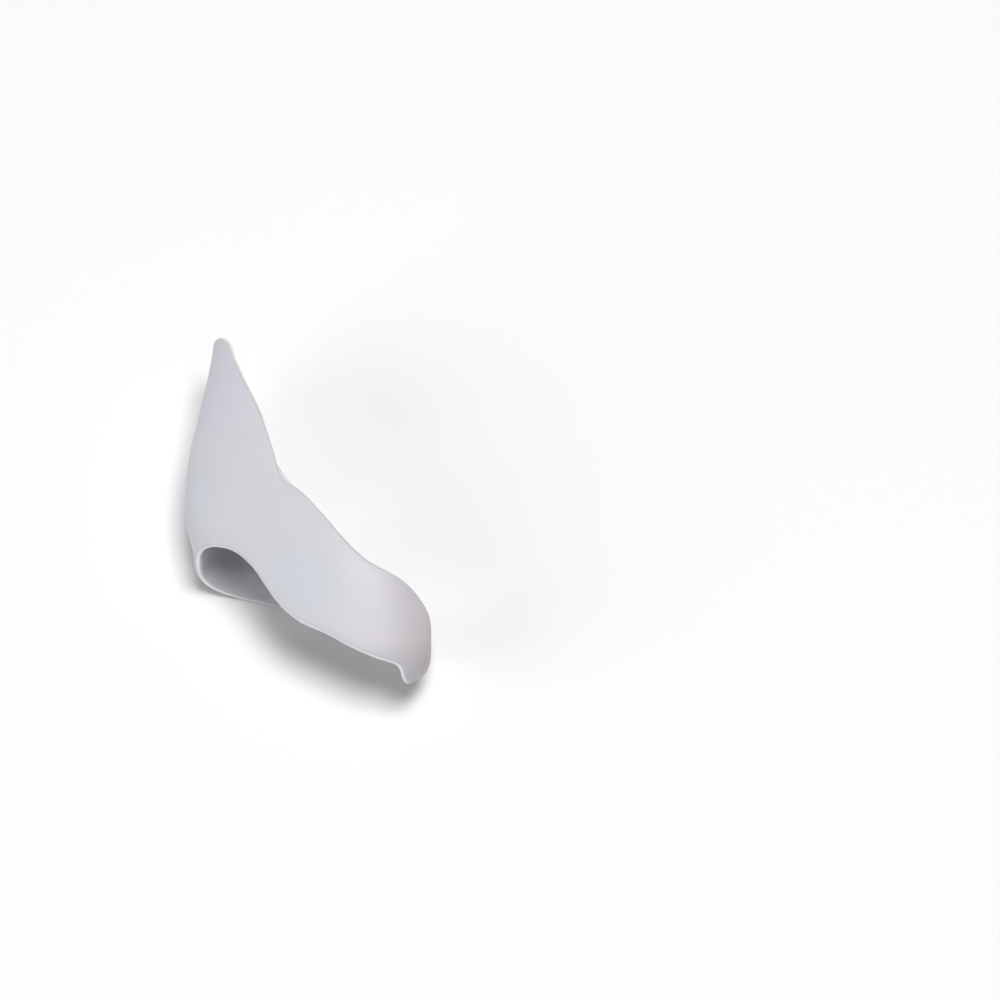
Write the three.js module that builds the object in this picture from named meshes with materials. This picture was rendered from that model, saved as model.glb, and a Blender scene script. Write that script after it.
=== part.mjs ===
// A gel toe separator for the two smallest toes, moulded in one piece of soft white gel. A band wraps
// both toes' openings, a spacer stands between them, and a rounded shield runs back from the little
// toe's opening. Millimetres, +X from the little toe's opening to the fourth toe's, +Y to the tip of
// the shield, +Z up, the origin at the bottom centre.
import * as THREE from "three";

// Openings for the toes.
const littleToeWidth = 12.2;
const littleToeHeight = 11.9;
const fourthToeWidth = 13.7;
const fourthToeHeight = 13.8;

// Thickness of the gel.
const spacerThickness = 3.2;
const outerWall = 1.5;
const innerWall = 2.8;
const topWall = 2.0;
const soleWall = 1.8;
const shieldWall = 2.8;

// Thickness at the rounded edges, and the width over which the gel thins down to them.
const thinRim = 0.9;
const shieldRim = 1.1;
const thickRim = 1.5;
const featherWidth = 4.0;
const steepestSlant = 2.4;

// Lengths from front to back, how far the side of the shield swells out and turns in again, and how
// far the inner wall bends in round the fourth toe at its front.
const toeStagger = 19.6;
const bandDepth = 13.5;
const strapDepth = 9.5;
const shieldLength = 30.9;
const sideSwell = 1.75;
const tipInset = 1.7;
const frontInset = 2.4;
const tuckDepth = 4.8;
const backRise = 10.1;

// Roundings: where the spacer meets the band, how hollow its two ends are, and the flat underneath.
const spacerFillet = 5.0;
const spacerHollow = 1.6;
const floorSink = 0.6;
const floorBlend = 0.35;

// A section of the outside is a squared oval: 2 would be an ellipse, and more is squarer.
const topSquareness = 2.5;
const soleSquareness = 3.2;

// The underside's flap is a little narrower than the shield's upper side.
const flapShare = 0.87;

// Mesh steps: columns for each table row, steps across a rim and a face, and up the spacer.
const columnsPerRow = 4;
const rimSteps = 3;
const faceSteps = 10;
const filletSteps = 4;
const spacerSteps = 3;

const outerSide = spacerThickness / 2 + littleToeWidth + outerWall;
const innerSide = spacerThickness / 2 + fourthToeWidth + innerWall;
const littleToeMiddle = -(spacerThickness + littleToeWidth) / 2;
const fourthToeMiddle = (spacerThickness + fourthToeWidth) / 2;
const wholeLength = toeStagger + shieldLength;
const degree = Math.PI / 180;
const meanRadius = (outerSide + innerSide) / 3;

// The outermost line of the side, row by row from the front to the tip of the shield.
const sideRows = [
  { reach: -0.5 * toeStagger, out: -0.2 * sideSwell },
  { reach: 0, out: 0.3 * sideSwell },
  { reach: 0.15 * shieldLength, out: 0.92 * sideSwell },
  { reach: 0.29 * shieldLength, out: sideSwell },
  { reach: 0.45 * shieldLength, out: 0.9 * sideSwell - 0.08 * tipInset },
  { reach: 0.64 * shieldLength, out: 0.4 * sideSwell - 0.3 * tipInset },
  { reach: 0.85 * shieldLength, out: -0.65 * tipInset },
  { reach: shieldLength, out: -tipInset },
];

// A smooth curve through the rows of a table, with level ends.
function smoothOut(rows, reach) {
  const last = rows.length - 1;
  if (reach <= rows[0].reach) return rows[0].out;
  if (reach >= rows[last].reach) return rows[last].out;
  const i = rows.findIndex((row) => reach < row.reach) - 1;
  const slope = (k) =>
    k <= 0 || k >= last
      ? 0
      : (rows[k + 1].out - rows[k - 1].out) / (rows[k + 1].reach - rows[k - 1].reach);
  const span = rows[i + 1].reach - rows[i].reach;
  const t = (reach - rows[i].reach) / span;
  const rise = t * t * (3 - 2 * t);
  return (
    rows[i].out * (1 - rise) +
    rows[i + 1].out * rise +
    span * t * (1 - t) * ((1 - t) * slope(i) - t * slope(i + 1))
  );
}

// Half the width and the middle of the section at this distance from the front.
function sectionAt(reach) {
  const out = -outerSide - smoothOut(sideRows, reach - toeStagger);
  const tuck = frontInset * Math.max(0, 1 - reach / tuckDepth) ** 2;
  return { half: (innerSide - tuck - out) / 2, middle: (innerSide - tuck + out) / 2 };
}

// Height of the upper outside over a point: the openings' heights, and the rise towards the back.
function topHeight(x, reach) {
  const across = (x - littleToeMiddle) / (fourthToeMiddle - littleToeMiddle);
  const toes = littleToeHeight + (fourthToeHeight - littleToeHeight) * across;
  const rise = (backRise / wholeLength) * (reach - 0.6 * toeStagger);
  return soleWall + toes + topWall + rise;
}

// A point of the outside. The turn is 0 at the outer side, a right angle on top, and minus one beneath.
function outside(turn, reach) {
  const { half, middle } = sectionAt(reach);
  const cos = Math.cos(turn);
  const sin = Math.sin(turn);
  const power = sin >= 0 ? topSquareness : soleSquareness;
  const grow = (Math.abs(cos) ** power + Math.abs(sin) ** power) ** (-1 / power);
  const x = middle - half * cos * grow;
  const sink = Math.min(0, sin * grow) * floorSink;
  const z = (topHeight(x, reach) / 2) * (1 + sin * grow) + sink;
  return new THREE.Vector3(x, reach, settle(z));
}

// Flattens what would lie below the floor, with a soft change into the flat.
function settle(z) {
  if (z >= floorBlend) return z;
  if (z <= -floorBlend) return 0;
  return (z + floorBlend) ** 2 / (4 * floorBlend);
}

// The turn at which the outside passes over (side 1) or under (side -1) the line x.
function turnOver(x, reach, side) {
  const { half, middle } = sectionAt(reach);
  const power = side > 0 ? topSquareness : soleSquareness;
  const share = Math.min(0.999, Math.max(-0.999, (middle - x) / half));
  const steep = Math.max(1e-9, Math.abs(share)) ** -power - 1;
  const turn = Math.atan(steep ** (1 / power));
  return side * (share >= 0 ? turn : Math.PI - turn);
}

// A point a given depth below the outside, in the plane of its section. Over and under the spacer the
// depth goes straight up or down, so that both sides of the spacer meet there.
function inside(turn, reach, depth) {
  const small = 0.02;
  const around = outside(turn + small, reach).sub(outside(turn - small, reach)).normalize();
  const point = outside(turn, reach);
  const lean = fullness(Math.abs(point.x), 2 * spacerFillet);
  const inward = new THREE.Vector3(around.z * lean, 0, -around.x).normalize();
  return point.addScaledVector(inward, depth);
}

// A smooth rise from 0 at no distance to 1 at the given width.
function fullness(distance, width) {
  const t = Math.min(1, Math.max(0, distance / width));
  return t * t * (3 - 2 * t);
}

// Ribs over the little toe and the shield, from the spacer to the tip. Each runs from the front edge to
// the back edge, and a row holds where both lie: the turn in degrees, and the reach towards the tip.
const upperRibs = [
  {
    place: "band beside the notch",
    front: { turn: 78, reach: 0.39 * toeStagger },
    back: { turn: 81, reach: toeStagger + 0.21 * shieldLength },
    wall: topWall,
    frontRim: thinRim,
    backRim: thinRim,
  },
  {
    place: "notch where the band meets the shield",
    front: { turn: 73, reach: 0.47 * toeStagger },
    back: { turn: 78, reach: toeStagger + 0.25 * shieldLength },
    wall: topWall,
    frontRim: thinRim,
    backRim: thinRim,
  },
  {
    place: "upper edge of the shield, widest",
    front: { turn: 67, reach: 0.6 * toeStagger },
    back: { turn: 74, reach: toeStagger + 0.375 * shieldLength },
    wall: 0.5 * (topWall + shieldWall),
    frontRim: thinRim,
    backRim: thinRim,
  },
  {
    place: "upper edge of the shield, middle",
    front: { turn: 61, reach: 0.74 * toeStagger },
    back: { turn: 67, reach: toeStagger + 0.534 * shieldLength },
    wall: shieldWall,
    frontRim: thinRim,
    backRim: shieldRim,
  },
  {
    place: "upper edge of the shield, narrowing",
    front: { turn: 52, reach: 0.87 * toeStagger },
    back: { turn: 55, reach: toeStagger + 0.708 * shieldLength },
    wall: shieldWall,
    frontRim: thinRim,
    backRim: shieldRim,
  },
  {
    place: "upper edge of the shield, before the tip",
    front: { turn: 42, reach: 0.93 * toeStagger },
    back: { turn: 46, reach: toeStagger + 0.826 * shieldLength },
    wall: shieldWall,
    frontRim: thinRim,
    backRim: shieldRim,
  },
  {
    place: "shoulder of the tip",
    front: { turn: 30, reach: 0.955 * toeStagger },
    back: { turn: 37, reach: toeStagger + 0.932 * shieldLength },
    wall: shieldWall,
    frontRim: shieldRim,
    backRim: shieldRim,
  },
  {
    place: "corner of the tip",
    front: { turn: 15, reach: 0.937 * toeStagger },
    back: { turn: 23.5, reach: toeStagger + 0.987 * shieldLength },
    wall: shieldWall,
    frontRim: shieldRim,
    backRim: shieldRim,
  },
];

const tipRib = {
  place: "tip of the shield",
  front: { turn: 0, reach: 0.9 * toeStagger },
  back: { turn: 0, reach: wholeLength },
  wall: shieldWall,
  frontRim: shieldRim,
  backRim: shieldRim,
};

// Ribs round the fourth toe, from the sole end of the spacer to its upper end.
const fourthToeRibs = [
  {
    place: "strap under the fourth toe",
    front: { turn: -103, reach: 0.49 * toeStagger },
    back: { turn: -103, reach: 0.49 * toeStagger + strapDepth },
    wall: soleWall,
    frontRim: thinRim,
    backRim: thinRim,
  },
  {
    place: "strap before the inner wall",
    front: { turn: -122, reach: 0.36 * toeStagger },
    back: { turn: -122, reach: 0.36 * toeStagger + 0.9 * strapDepth },
    wall: soleWall,
    frontRim: thinRim,
    backRim: thinRim,
  },
  {
    place: "inner wall, lower corner",
    front: { turn: -147, reach: 0.22 * toeStagger },
    back: { turn: -147, reach: 0.22 * toeStagger + 0.66 * strapDepth },
    wall: 0.5 * (soleWall + innerWall),
    frontRim: thinRim,
    backRim: 0.5 * (thinRim + thickRim),
  },
  {
    place: "inner wall",
    front: { turn: -180, reach: -0.01 * toeStagger },
    back: { turn: -180, reach: 0.62 * bandDepth },
    wall: innerWall,
    frontRim: thinRim,
    backRim: thickRim,
  },
  {
    place: "inner wall, upper corner",
    front: { turn: -201, reach: -0.025 * toeStagger },
    back: { turn: -205, reach: 0.74 * bandDepth },
    wall: innerWall,
    frontRim: thinRim,
    backRim: thickRim,
  },
  {
    place: "front corner of the band",
    front: { turn: -218, reach: 0.025 * toeStagger },
    back: { turn: -225, reach: 0.91 * bandDepth },
    wall: 0.5 * (topWall + innerWall),
    frontRim: thinRim,
    backRim: thinRim,
  },
  {
    place: "band over the fourth toe",
    front: { turn: -235, reach: 0.055 * toeStagger },
    back: { turn: -243, reach: 1.075 * bandDepth },
    wall: topWall,
    frontRim: thinRim,
    backRim: thinRim,
  },
  {
    place: "dip in the back edge",
    front: { turn: -250, reach: 0.125 * toeStagger },
    back: { turn: -254, reach: 1.3 * bandDepth },
    wall: topWall,
    frontRim: thinRim,
    backRim: thinRim,
  },
  {
    place: "band before the spacer",
    front: { turn: -264, reach: 0.23 * toeStagger },
    back: { turn: -263, reach: 1.555 * bandDepth },
    wall: topWall,
    frontRim: thinRim,
    backRim: thinRim,
  },
];

// A rib in the plane of the spacer, over it (side 1) or under it (side -1).
function spacerRib(side, frontReach, backReach) {
  return {
    place: side > 0 ? "upper end of the spacer" : "sole end of the spacer",
    front: { turn: turnOver(0, frontReach, side) / degree, reach: frontReach },
    back: { turn: turnOver(0, backReach, side) / degree, reach: backReach },
    wall: side > 0 ? topWall : soleWall,
    frontRim: thinRim,
    backRim: thinRim,
  };
}

const upperSpacerRib = spacerRib(1, 0.315 * toeStagger, 0.315 * toeStagger + 1.35 * bandDepth);
const soleSpacerRib = spacerRib(-1, 0.7 * toeStagger, 0.7 * toeStagger + 1.05 * strapDepth);

// The sole side of the shield mirrors its upper side. Its front edge sweeps from the side to the strap.
function mirrored(rib) {
  const share = (rib.front.turn / soleSpacerRib.front.turn) ** 2;
  const sweep = (soleSpacerRib.front.reach - tipRib.front.reach) * share;
  return {
    place: rib.place + ", sole side",
    front: { turn: -rib.front.turn, reach: tipRib.front.reach + sweep },
    back: { turn: -rib.back.turn * flapShare, reach: rib.back.reach },
    wall: Math.min(rib.wall, 0.5 * (soleWall + shieldWall)),
    frontRim: rib.frontRim,
    backRim: rib.backRim,
  };
}

const ribs = [
  upperSpacerRib,
  ...upperRibs,
  tipRib,
  ...upperRibs.map(mirrored).reverse(),
  soleSpacerRib,
  ...fourthToeRibs,
];
const soleSpacerRow = ribs.indexOf(soleSpacerRib);

// Row i of the closed ring of ribs. Every lap round the toes takes the turn on by a full circle.
function ribRow(i) {
  const lap = Math.floor(i / ribs.length);
  return { row: ribs[i - lap * ribs.length], lap };
}

// A point of the front or back edge between rows, on a curve through the rows before and after it.
function edgeBetween(edge, i, t) {
  const points = [-1, 0, 1, 2].map((step) => {
    const { row, lap } = ribRow(i + step);
    const arc = (row[edge].turn - 360 * lap) * degree * meanRadius;
    return new THREE.Vector3(arc, row[edge].reach, 0);
  });
  const curve = new THREE.CatmullRomCurve3(points, false, "centripetal");
  const point = curve.getPoint((1 + t) / 3);
  return { turn: point.x / meanRadius, reach: point.y };
}

// How much longer a rib takes to cross a strip along an edge than a line square to the edge.
function slant(edge, i, t) {
  const front = edgeBetween("front", i, t);
  const back = edgeBetween("back", i, t);
  const before = edgeBetween(edge, i, Math.max(0, t - 0.05));
  const after = edgeBetween(edge, i, Math.min(1, t + 0.05));
  const flat = (from, to) =>
    new THREE.Vector2((to.turn - from.turn) * meanRadius, to.reach - from.reach).normalize();
  const crossing = Math.abs(flat(front, back).cross(flat(before, after)));
  return Math.min(steepestSlant, 1 / crossing);
}

// The rib at a place between two rows of the table.
function ribBetween(i, t) {
  const { row } = ribRow(i);
  const next = ribRow(i + 1).row;
  const mix = (key) => row[key] + (next[key] - row[key]) * fullness(t, 1);
  return {
    front: { ...edgeBetween("front", i, t), slant: slant("front", i, t) },
    back: { ...edgeBetween("back", i, t), slant: slant("back", i, t) },
    wall: mix("wall"),
    frontRim: mix("frontRim"),
    backRim: mix("backRim"),
  };
}

// Turn, reach and thickness at a share of the way from a rib's front edge to its back edge.
function alongRib(rib, share) {
  const length = ribLength(rib);
  const feather = (edge) => Math.min(featherWidth * edge.slant, length / 2);
  const thinFront = (rib.wall - rib.frontRim) * (1 - fullness(share * length, feather(rib.front)));
  const toBack = (1 - share) * length;
  const thinBack = (rib.wall - rib.backRim) * (1 - fullness(toBack, feather(rib.back)));
  const mix = (key) => rib.front[key] + (rib.back[key] - rib.front[key]) * share;
  return {
    turn: mix("turn"),
    reach: mix("reach"),
    away: mix("away"),
    thickness: rib.wall - thinFront - thinBack,
  };
}

// Length of a rib over the outside.
function ribLength(rib) {
  const start = outside(rib.front.turn, rib.front.reach);
  const halfway = outside(
    (rib.front.turn + rib.back.turn) / 2,
    (rib.front.reach + rib.back.reach) / 2,
  );
  const end = outside(rib.back.turn, rib.back.reach);
  return start.distanceTo(halfway) + halfway.distanceTo(end);
}

// The middle of the gel's thickness.
function core(place) {
  return inside(place.turn, place.reach, place.thickness / 2);
}

// The fillets beside the spacer: how far out they reach, and where they turn from sheet to spacer.
const fillet = Math.min(spacerFillet, 0.42 * littleToeHeight);
const filletReach = spacerThickness / 2 + fillet;
const filletMiddle = spacerThickness / 2 + fillet * (1 - Math.SQRT1_2);

// Distance of an edge from the plane of the spacer. The sides of the part count as far away.
function awayFromSpacer(edge) {
  const away = Math.abs(outside(edge.turn, edge.reach).x);
  return Math.abs(Math.cos(edge.turn)) > 0.8 ? Math.max(away, filletReach) : away;
}

// The place on the front or back edge that lies this far from the spacer. The search starts at row
// start and goes in the direction step, which is 1 or -1.
function edgeAway(edge, start, step, away) {
  let near = 0;
  let far = 5;
  for (let k = 0; k < 20; k++) {
    const middle = (near + far) / 2;
    const place = start + step * middle;
    const point = edgeBetween(edge, Math.floor(place), place - Math.floor(place));
    if (awayFromSpacer(point) < away) near = middle;
    else far = middle;
  }
  const place = start + step * far;
  return edgeBetween(edge, Math.floor(place), place - Math.floor(place));
}

// The rib on the inner face beside a rib. Near the spacer the inner face gives way to the fillet, so
// its ribs are pushed outward, from the middle of the fillet at the spacer to no push at its end.
function ribBeside(rib, start, step) {
  const beside = { ...rib };
  for (const edge of ["front", "back"]) {
    const away = awayFromSpacer(rib[edge]);
    const pushed = filletMiddle + ((filletReach - filletMiddle) * away) / filletReach;
    beside[edge] =
      away < filletReach
        ? { ...rib[edge], ...edgeAway(edge, start, step, pushed), away: pushed }
        : { ...rib[edge], away };
  }
  return beside;
}

// A point of a sheet's inner face, thickened by the fillet.
function innerFace(place) {
  const into = Math.max(0, filletReach - place.away);
  const drop = fillet - Math.sqrt(Math.max(0, fillet ** 2 - into ** 2));
  return inside(place.turn, place.reach, place.thickness + drop);
}

// Distances of the steps along a column, closer together over the two rims.
function stepShares(length, frontRadius, backRadius) {
  const quarter = (k) => 1 - Math.cos(((k / rimSteps) * Math.PI) / 2);
  const shares = [];
  for (let k = 0; k < rimSteps; k++) shares.push((frontRadius * quarter(k)) / length);
  const start = frontRadius / length;
  const end = 1 - backRadius / length;
  for (let k = 0; k <= faceSteps; k++) shares.push(start + ((end - start) * k) / faceSteps);
  for (let k = rimSteps - 1; k >= 0; k--) shares.push(1 - (backRadius * quarter(k)) / length);
  return shares;
}

// A column of points from the front edge to the back edge. It leaves the core at each edge and swings
// out to the face round a full rim.
function column(length, frontRadius, backRadius, coreAt, faceAt) {
  return stepShares(length, frontRadius, backRadius).map((share) => {
    const fromFront = Math.min(1, (share * length) / frontRadius);
    const fromBack = Math.min(1, ((1 - share) * length) / backRadius);
    const swing = Math.sqrt(1 - (1 - fromFront) ** 2) * Math.sqrt(1 - (1 - fromBack) ** 2);
    return coreAt(share).lerp(faceAt(share), swing);
  });
}

// The column of a sheet on its outside.
function outerColumn(rib) {
  const place = (share) => alongRib(rib, share);
  return column(
    ribLength(rib),
    (rib.frontRim / 2) * rib.front.slant,
    (rib.backRim / 2) * rib.back.slant,
    (share) => core(place(share)),
    (share) => outside(place(share).turn, place(share).reach),
  );
}

// Radius of a rim on its inner side, which grows to the spacer's at the spacer.
function innerRadius(edge, rim) {
  const growth = 1 - fullness(awayFromSpacer(edge), filletReach);
  return (rim / 2 + (spacerThickness / 2 - rim / 2) * growth) * edge.slant;
}

// The column of a sheet on its inside.
function innerColumn(rib, start, step) {
  const beside = ribBeside(rib, start, step);
  return column(
    ribLength(rib),
    innerRadius(rib.front, rib.frontRim),
    innerRadius(rib.back, rib.backRim),
    (share) => core(alongRib(rib, share)),
    (share) => innerFace(alongRib(beside, share)),
  );
}

// The two ends of the spacer, each with the ribs of the inner faces beside it.
const spacerEnds = [soleSpacerRow, 0].map((start) => {
  const rib = ribBetween(start, 0);
  const littleToeStep = start === 0 ? 1 : -1;
  return {
    rib,
    littleToe: ribBeside(rib, start, littleToeStep),
    fourthToe: ribBeside(rib, start, -littleToeStep),
  };
});

// The spacer's columns: up the lower fillets, the straight middle and the upper fillets. The bend is
// the angle round a fillet, and the rise goes from 0 at the sole side to 1 at the upper side.
const spacerColumns = [];
for (let k = 1; k <= filletSteps; k++) {
  spacerColumns.push({ bend: (Math.PI / 4) * (1 + k / filletSteps), rise: 0 });
}
for (let k = 1; k < spacerSteps; k++) spacerColumns.push({ bend: Math.PI / 2, rise: k / spacerSteps });
for (let k = filletSteps; k >= 1; k--) {
  spacerColumns.push({ bend: (Math.PI / 4) * (1 + k / filletSteps), rise: 1 });
}

// How far round a fillet a column is, from 0 at its middle to 1 at the spacer's straight face.
function bentShare(step) {
  return (step.bend - Math.PI / 4) / (Math.PI / 4);
}

// The reach of the spacer's middle, at a share of the way from its front to its back.
function spacerReach(step, share) {
  const bent = bentShare(step);
  const height = 0.25 * bent + (1 - 0.5 * bent) * step.rise;
  const sole = alongRib(spacerEnds[0].rib, share).reach;
  const upper = alongRib(spacerEnds[1].rib, share).reach;
  const hollow = spacerHollow * 16 * (height * (1 - height)) ** 2 * (1 - 2 * share);
  return sole + (upper - sole) * 0.5 * (height + fullness(height, 1)) + hollow;
}

// A point of the spacer's face beside one toe, measured from its sole end (0) or its upper end (1).
function spacerFaceFrom(end, step, share, toe) {
  const corner = alongRib(spacerEnds[end][toe], share);
  const cornerX = outside(corner.turn, corner.reach).x;
  const side = toe === "littleToe" ? -1 : 1;
  const straightX = (side * spacerThickness) / 2;
  const x = straightX + ((cornerX - straightX) * (1 - Math.sin(step.bend))) / (1 - Math.SQRT1_2);
  const push = corner.reach - alongRib(spacerEnds[end].rib, share).reach;
  const reach = spacerReach(step, share) + push * (1 - fullness(bentShare(step), 1));
  const depth = corner.thickness + fillet * (1 - Math.cos(step.bend));
  return inside(turnOver(x, reach, end === 0 ? -1 : 1), reach, depth);
}

// A point of the spacer's face beside one toe.
function spacerFace(step, share, toe) {
  if (step.rise === 0) return spacerFaceFrom(0, step, share, toe);
  if (step.rise === 1) return spacerFaceFrom(1, step, share, toe);
  return spacerFaceFrom(0, step, share, toe).lerp(spacerFaceFrom(1, step, share, toe), step.rise);
}

// Height midway between the spacer's two faces.
function spacerHeight(step, share) {
  return (spacerFace(step, share, "littleToe").z + spacerFace(step, share, "fourthToe").z) / 2;
}

// A point of the spacer's middle. Round the fillets it climbs to the core of the sheet.
function spacerCore(step, share) {
  const point = new THREE.Vector3(0, spacerReach(step, share), spacerHeight(step, share));
  const climb = 1 - bentShare(step);
  if (climb <= 0) return point;
  const corner = { bend: Math.PI / 4, rise: step.rise };
  const sheet = core(alongRib(spacerEnds[step.rise].rib, share));
  point.z += (sheet.z - spacerHeight(corner, share)) * climb;
  return point;
}

// The column of the spacer on the side of one toe. Its rims are those of the sheet at the fillets.
function spacerColumn(step, toe) {
  const end = spacerEnds[Math.round(step.rise)].rib;
  const radius = (edge) =>
    (spacerThickness / 2) * (edge.slant + (1 - edge.slant) * fullness(bentShare(step), 1));
  return column(
    spacerCore(step, 0).distanceTo(spacerCore(step, 1)),
    radius(end.front),
    radius(end.back),
    (share) => spacerCore(step, share),
    (share) => spacerFace(step, share, toe),
  );
}

// The gel as one closed mesh: its outside, and the wall of each toe's opening. The three share the
// points of the front and back edges.
function gelGeometry() {
  const positions = [];
  const triangles = [];
  const edges = new Map();

  const addPoint = (point) => positions.push(point.x, point.y, point.z) / 3 - 1;
  const edgeIndex = (name, point) => {
    if (!edges.has(name)) edges.set(name, addPoint(point));
    return edges.get(name);
  };
  const addColumn = (name, points) =>
    points.map((point, k) => {
      if (k === 0) return edgeIndex(name + " front", point);
      if (k === points.length - 1) return edgeIndex(name + " back", point);
      return addPoint(point);
    });
  const addWall = (columns) => {
    columns.forEach((left, i) => {
      const right = columns[(i + 1) % columns.length];
      for (let k = 0; k + 1 < left.length; k++) {
        const corners = [left[k], right[k], right[k + 1], left[k + 1]];
        if (corners[0] !== corners[1]) triangles.push(corners[0], corners[1], corners[2]);
        if (corners[2] !== corners[3]) triangles.push(corners[0], corners[2], corners[3]);
      }
    });
  };

  const sheet = [];
  for (let i = 0; i < ribs.length; i++) {
    for (let k = 0; k < columnsPerRow; k++) sheet.push(ribBetween(i, k / columnsPerRow));
  }
  const soleColumn = soleSpacerRow * columnsPerRow;
  const name = (i) => "sheet " + (i % sheet.length);
  // The nearer end of the spacer is where a column's rib looks for the rib beside it.
  const inner = (i, first, last) => {
    const fromFirst = i - first < last - i;
    const start = (fromFirst ? first : last) / columnsPerRow;
    return addColumn(name(i), innerColumn(sheet[i % sheet.length], start, fromFirst ? 1 : -1));
  };
  const spacer = (k, toe) => addColumn("spacer " + k, spacerColumn(spacerColumns[k], toe));

  addWall(sheet.map((rib, i) => addColumn(name(i), outerColumn(rib))).reverse());

  const littleToe = [];
  for (let i = 0; i <= soleColumn; i++) littleToe.push(inner(i, 0, soleColumn));
  for (let k = 0; k < spacerColumns.length; k++) littleToe.push(spacer(k, "littleToe"));
  addWall(littleToe);

  const fourthToe = [];
  for (let i = soleColumn; i <= sheet.length; i++) fourthToe.push(inner(i, soleColumn, sheet.length));
  for (let k = spacerColumns.length - 1; k >= 0; k--) fourthToe.push(spacer(k, "fourthToe"));
  addWall(fourthToe);

  const geometry = new THREE.BufferGeometry();
  geometry.setAttribute("position", new THREE.Float32BufferAttribute(positions, 3));
  geometry.setIndex(triangles);
  geometry.computeBoundingBox();
  const middle = geometry.boundingBox.getCenter(new THREE.Vector3());
  geometry.translate(-middle.x, -middle.y, -geometry.boundingBox.min.z);
  geometry.computeVertexNormals();
  return geometry;
}

const whiteGel = new THREE.MeshStandardMaterial({
  color: new THREE.Color(0.8, 0.8, 0.84),
  roughness: 0.55,
  metalness: 0,
});

const separator = new THREE.Mesh(gelGeometry(), whiteGel);
separator.name = "gel_separator";

const part = new THREE.Group();
part.add(separator);

export default part;
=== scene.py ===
"""A gel toe separator, dressed for its picture.

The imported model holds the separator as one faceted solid. Here the same form is built again from the same
sizes at finer steps, with full round rims and the fine parting line of its mould, and gets the finish of
soft white gel. A pale floor, soft lights and one camera stand round it. Every length is in metres, and
the form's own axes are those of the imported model: +X from the little toe's opening to the fourth toe's,
+Y to the tip of the shield, +Z up. Its origin is in the plane of the spacer, at the front of the band.
"""

import logging
import math
from dataclasses import dataclass, field, replace
from enum import Enum
from typing import Callable

import bpy
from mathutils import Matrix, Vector


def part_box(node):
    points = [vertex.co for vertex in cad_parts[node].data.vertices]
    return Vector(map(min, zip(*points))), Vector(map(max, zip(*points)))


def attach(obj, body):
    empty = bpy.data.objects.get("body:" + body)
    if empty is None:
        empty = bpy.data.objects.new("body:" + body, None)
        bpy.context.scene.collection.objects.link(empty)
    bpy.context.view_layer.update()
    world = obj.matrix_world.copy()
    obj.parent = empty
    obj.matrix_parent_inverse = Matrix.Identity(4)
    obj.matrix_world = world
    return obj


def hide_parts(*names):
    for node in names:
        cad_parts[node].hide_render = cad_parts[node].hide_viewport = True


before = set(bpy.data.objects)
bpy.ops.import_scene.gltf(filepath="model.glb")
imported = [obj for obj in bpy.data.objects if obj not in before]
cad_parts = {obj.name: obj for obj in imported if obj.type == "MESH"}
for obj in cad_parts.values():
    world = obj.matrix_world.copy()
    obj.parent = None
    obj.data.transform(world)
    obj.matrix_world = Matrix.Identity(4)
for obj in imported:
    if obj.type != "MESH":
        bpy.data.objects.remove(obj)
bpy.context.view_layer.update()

NODE = "gel_separator"
BODY = "root"
PIECE = "soft_gel_separator"
FRONT_LAYER = "from_front_mm"
BACK_LAYER = "from_back_mm"
FLOAT = "NodeSocketFloat"
COLOR = "NodeSocketColor"
MM = 0.001
RIGHT_ANGLE = math.pi / 2

log = logging.getLogger("gel_toe_separator")

Point = tuple[float, float, float]
Color = tuple[float, float, float, float]


class Edge(Enum):
    """The two edges that every rib of the gel runs between."""

    FRONT = "front"
    BACK = "back"


class Face(Enum):
    """The two faces of the gel's wall, as material slots of the mesh."""

    OUTER = 0
    INNER = 1


class SpacerEnd(Enum):
    """The two ends of the spacer, and the side of the section that each lies on."""

    SOLE = -1
    UPPER = 1


class Toe(Enum):
    """The two openings, and the side of the spacer that each lies on."""

    LITTLE = -1
    FOURTH = 1


class Tint(Enum):
    """The tints that drift in the milky gel, and a warm painted shade, each kept with the mesh under its own
    name.
    """

    COOL = "cool_tint"
    LAVENDER = "lavender_tint"
    # Painted shade: a darker, warm colour for the shade of a neighbouring toe and the warm light it reflects.
    PAINTED_WARM_SHADE = "painted_warm_shade"


def fullness(distance: float, width: float) -> float:
    """Return a smooth rise from 0 at no distance to 1 at the width and beyond."""
    t = min(1.0, max(0.0, distance / width))
    return t * t * (3 - 2 * t)


def mix(start: float, end: float, share: float) -> float:
    """Return the value a share of the way from start to end."""
    return start + (end - start) * share


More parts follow.
